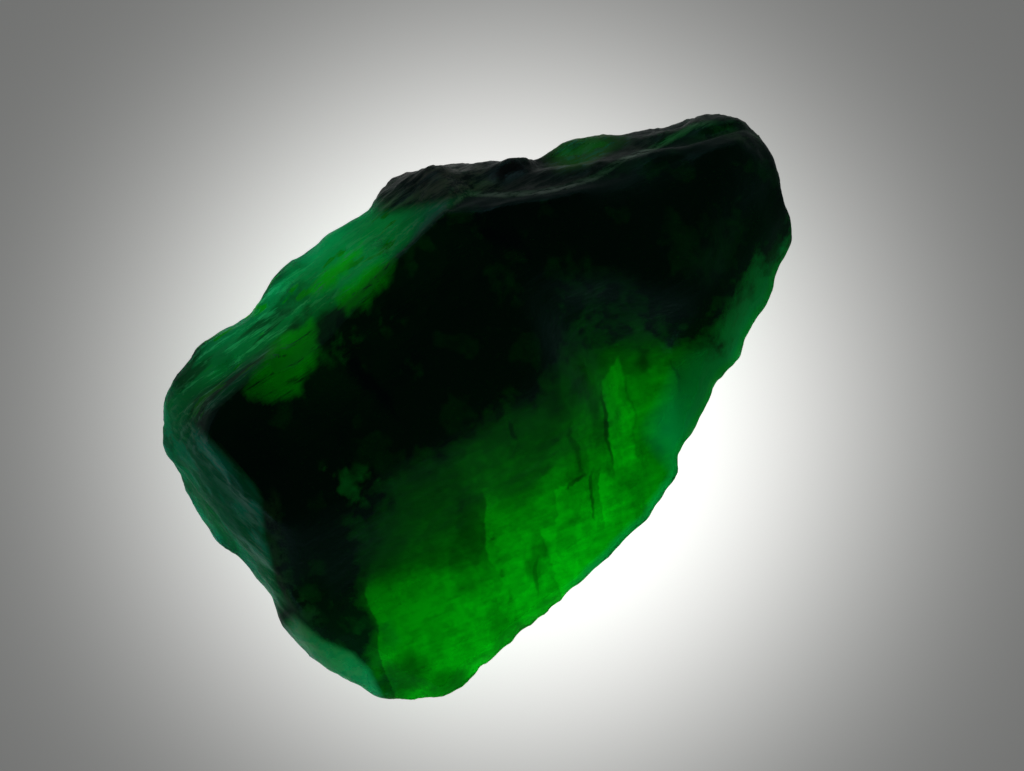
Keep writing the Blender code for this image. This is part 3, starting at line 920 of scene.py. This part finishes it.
# The streaks grow paler towards the crest: partly painted reflection.
near_crest = smooth_step(stone_tree, mask("beyond_crest"), 2.4, 0.2)
streaks = smooth_step(stone_tree, end_waves, 0.48, 0.60)
streak_share = times(streaks, lerp(near_crest, 0.0, 1.0, 0.35, 1.0))
end_skin = blend_colours(stone_tree, streak_share, end_skin, END_STREAK_AND_SHEEN)
colour = blend_colours(stone_tree, mask("broken_end"), colour, end_skin)
chips = smooth_step(stone_tree, mottle, 0.42, 0.58)
chipped = blend_colours(stone_tree, chips, CHIPPED_DEEP, CHIPPED_PALE)
colour = blend_colours(stone_tree, mask("chipped_corner"), colour, chipped)
print(f"broken end: {len(stone_tree.nodes)} nodes so far")

# %% The knob, the dark ridge and the brown crest
# On the knob the mica is paler: partly its own colour, partly a painted highlight.
pale_mica_and_highlight = blend_colours(stone_tree, mask("knob"), RIDGE_GREY, MICA_PALE_AND_HIGHLIGHT)
mica = blend_colours(stone_tree, smooth_step(stone_tree, fibres, 0.44, 0.64), MICA_DARK, pale_mica_and_highlight)
coated = calc(stone_tree, "MAXIMUM", mask("knob"), mask("rusty_ridge"))
colour = blend_colours(stone_tree, coated, colour, mica)
brown = blend_colours(stone_tree, smooth_step(stone_tree, mottle, 0.40, 0.62), MICA_DARK, MICA_BROWN)
colour = blend_colours(stone_tree, mask("brown_crest"), colour, brown)
lobe_skin = blend_colours(stone_tree, smooth_step(stone_tree, fibres, 0.50, 0.62), LOBE_GREEN, FIBRE_AND_GLINT_WHITE)
colour = blend_colours(stone_tree, times(mask("lobe"), 0.85), colour, lobe_skin)
print(f"knob and ridge: {len(stone_tree.nodes)} nodes so far")

# %% Scuffs, the painted crest highlight, windows and the clear underside
scuff_grain = smooth_step(stone_tree, speckle((1, 1, 1), 3.0, 2.0, 0.7), 0.42, 0.62)
scuffs = times(mask("worn"), scuff_grain, smooth_step(stone_tree, mask("beyond_crest"), -0.6, 0.0))
colour = blend_colours(stone_tree, times(scuffs, 0.5), colour, SCUFF)
# Painted highlight: a pale line along the crest behind the knob.
crest_highlight_share = times(mask("crest_painted_highlight"), smooth_step(stone_tree, fibres, 0.40, 0.56))
colour = blend_colours(stone_tree, times(crest_highlight_share, 0.8), colour, CREST_HIGHLIGHT_PAINT)
between_fibres = smooth_step(stone_tree, calc(stone_tree, "SUBTRACT", 1.0, fibres), 0.36, 0.46)
window_share = times(mask("window"), between_fibres)
colour = blend_colours(stone_tree, window_share, colour, CLEAR_GREEN)
clear_below = times(mask("underside"), calc(stone_tree, "SUBTRACT", 1.0, coated))
colour = blend_colours(stone_tree, clear_below, colour, INNER_GREEN)
print(f"scuffs and windows: {len(stone_tree.nodes)} nodes so far")

# %% [markdown]
# ## Frost on the skin
#
# Fibres, mica and fine breaks scatter the room's light, so they look grey or white on top of
# the green that comes through. A rough coat does that without changing the glass below it:
# its weight is the mask, and its roughness and index are plain values.

# %% Where the skin is frosted
end_frost = times(mask("broken_end"), smooth_step(stone_tree, end_waves, 0.44, 0.62), near_crest)
wall_frost = times(mask("grooved"), fibre_share, smooth_step(stone_tree, mask("beyond_crest"), 4.5, 1.0))
mica_frost = times(coated, lerp(fibres, 0.40, 0.62, 0.10, MICA_SHEEN))
chip_frost = times(mask("chipped_corner"), 0.35)
frosting = end_frost
for another in (times(wall_frost, 0.8), mica_frost, times(crest_highlight_share, 0.9), chip_frost):
    frosting = calc(stone_tree, "MAXIMUM", frosting, another)
print(f"frost: {len(stone_tree.nodes)} nodes so far")

# %% Roughness and fine grain
rough = lerp(mask("worn_edge"), 0.0, 1.0, 0.20, 0.75)
rough = calc(stone_tree, "ADD", rough, centred(mottle, 0.12), clamp=True)

grain_height = calc(stone_tree, "MULTIPLY_ADD", fibres, 0.6, calc(stone_tree, "MULTIPLY", mottle, 0.4))
relief = add(stone_tree, "Bump", {"Height": grain_height, "Strength": 0.8, "Distance": 0.10 * MM})
print(f"roughness: {len(stone_tree.nodes)} nodes so far")

# %% The glass itself
shader = stone_tree.nodes["Principled BSDF"]
stone_tree.links.new(colour, shader.inputs["Base Color"])
stone_tree.links.new(rough, shader.inputs["Roughness"])
stone_tree.links.new(relief.outputs["Normal"], shader.inputs["Normal"])
shader.inputs["IOR"].default_value = BERYL_IOR
shader.inputs["Metallic"].default_value = 0.0
shader.inputs["Specular IOR Level"].default_value = SURFACE_GLOSS
shader.inputs["Specular Tint"].default_value = GLINT_TINT
shader.inputs["Transmission Weight"].default_value = CLEAR_SHARE
stone_tree.links.new(frosting, shader.inputs["Coat Weight"])
shader.inputs["Coat Roughness"].default_value = FROST_ROUGHNESS
shader.inputs["Coat IOR"].default_value = FROST_IOR
inside = add(stone_tree, "VolumeAbsorption", {"Color": ABSORPTION_COLOUR, "Density": ABSORPTION_PER_METRE})
stone_tree.links.new(inside.outputs[0], stone_tree.nodes["Material Output"].inputs["Volume"])
skin.materials.clear()
skin.materials.append(material)
print(f"emerald: {len(stone_tree.nodes)} nodes")

# %% [markdown]
# ## The table
#
# A pale sheet that glows from below, strongest under the stone and falling off evenly to
# the sides.

# %% Build the table
TABLE_SIZE = 900.0
TABLE_DROP = 0.15  # below the stone, so that the two surfaces don't share a plane
GLOW_CENTRE = (-2.5, -3.1)
GLOW_RADIUS = 22.1
GLOW_SHAPE = 2.3
GLOW_PEAK = 1.25
GLOW_FLOOR = 0.145
TABLE_COLOUR = (0.3, 0.3, 0.29, 1)


def table_material():
    material = bpy.data.materials.new("lit_table")
    material.use_nodes = True
    tree = material.node_tree
    shader = tree.nodes["Principled BSDF"]
    centre = (GLOW_CENTRE[0] * MM, GLOW_CENTRE[1] * MM, -TABLE_DROP * MM)
    away = add(tree, "VectorMath", {0: add(tree, "NewGeometry").outputs["Position"], 1: centre},
               operation="DISTANCE").outputs["Value"]
    share = calc(tree, "POWER", calc(tree, "DIVIDE", away, GLOW_RADIUS * MM), GLOW_SHAPE)
    glow = calc(tree, "EXPONENT", calc(tree, "MULTIPLY", share, -1.0))
    strength = calc(tree, "MULTIPLY_ADD", glow, GLOW_PEAK, GLOW_FLOOR)
    tree.links.new(strength, shader.inputs["Emission Strength"])
    shader.inputs["Emission Color"].default_value = (1.0, 1.0, 0.975, 1)
    shader.inputs["Base Color"].default_value = TABLE_COLOUR
    shader.inputs["Roughness"].default_value = 0.6
    return material


bpy.ops.mesh.primitive_plane_add(size=TABLE_SIZE * MM, location=(0, 0, -TABLE_DROP * MM))
table = bpy.context.object
table.name = "lit_table"
table.data.materials.append(table_material())
print(f"table: {TABLE_SIZE:.0f} mm square")

# %% [markdown]
# ## The room's light
#
# Soft light from all round, strongest near the horizon and faint overhead, so that the
# sides of the stone are lit and its flat top stays dark.

# %% Light the room
HORIZON_LIGHT = 0.10
OVERHEAD_LIGHT = 0.02

world = bpy.data.worlds.new("soft_room")
world.use_nodes = True
bpy.context.scene.world = world
tree = world.node_tree
sky = tree.nodes["Background"]
upward = add(tree, "SeparateXYZ", {0: add(tree, "TexCoord").outputs["Generated"]}).outputs["Z"]
dimming = add(tree, "MapRange", {"Value": upward, "From Min": 0.05, "From Max": 0.85,
                                 "To Min": HORIZON_LIGHT, "To Max": OVERHEAD_LIGHT})
tree.links.new(dimming.outputs["Result"], sky.inputs["Strength"])
sky.inputs["Color"].default_value = (0.85, 0.95, 1.0, 1)
bpy.context.scene.view_settings.view_transform = "Standard"
print("room light set")

# %% Place the lamps
LAMPS = (
    ("lamp_behind", 80.0, 28.0, 0.06),
    ("lamp_left", 185.0, 26.0, 0.07),
)
LAMP_DISTANCE = 500.0
LAMP_SIZE = 300.0


def soft_lamp(name, azimuth, elevation, brightness):
    """A square lamp that looks at the stone, from this azimuth and elevation in degrees."""
    around = math.radians(azimuth)
    above = math.radians(elevation)
    level = math.cos(above)
    towards = Vector((level * math.cos(around), level * math.sin(around), math.sin(above)))
    data = bpy.data.lights.new(name, "AREA")
    data.size = LAMP_SIZE * MM
    data.energy = brightness * 4 * (LAMP_DISTANCE * MM) ** 2
    data.color = (0.85, 0.95, 1.0)
    lamp = bpy.data.objects.new(name, data)
    lamp.location = towards * LAMP_DISTANCE * MM
    lamp.rotation_euler = towards.to_track_quat("Z", "Y").to_euler()
    bpy.context.scene.collection.objects.link(lamp)


for name, azimuth, elevation, brightness in LAMPS:
    soft_lamp(name, azimuth, elevation, brightness)
print(f"lamps: {len(LAMPS)}")

# %% [markdown]
# ## The camera
#
# It looks straight down on the stone, turned so that the crystal's length rises to the
# right. The distance and the lens together put fifteen pixels on each millimetre.

# %% Place the camera
LENS = 85.0
SENSOR = 36.0
PIXELS_ACROSS = 1024
PIXELS_PER_MM = 15.0
WIDEST_HEIGHT = 5.0  # the height of the stone's outline, where the scale holds
LENGTH_RISE = 40.0  # the crystal's length above the view's horizontal, in degrees
AIM = (-0.565, -1.19)

across_mm = PIXELS_ACROSS / PIXELS_PER_MM
distance = across_mm * LENS / SENSOR
camera_data = bpy.data.cameras.new("camera")
camera_data.lens = LENS
camera_data.sensor_width = SENSOR
camera_data.clip_start = 0.001
camera = bpy.data.objects.new("camera", camera_data)
camera.location = (AIM[0] * MM, AIM[1] * MM, (WIDEST_HEIGHT + distance) * MM)
camera.rotation_euler = (0, 0, math.radians(-LENGTH_RISE))
bpy.context.scene.collection.objects.link(camera)
bpy.context.scene.camera = camera
print(f"camera: {distance:.0f} mm above the outline")
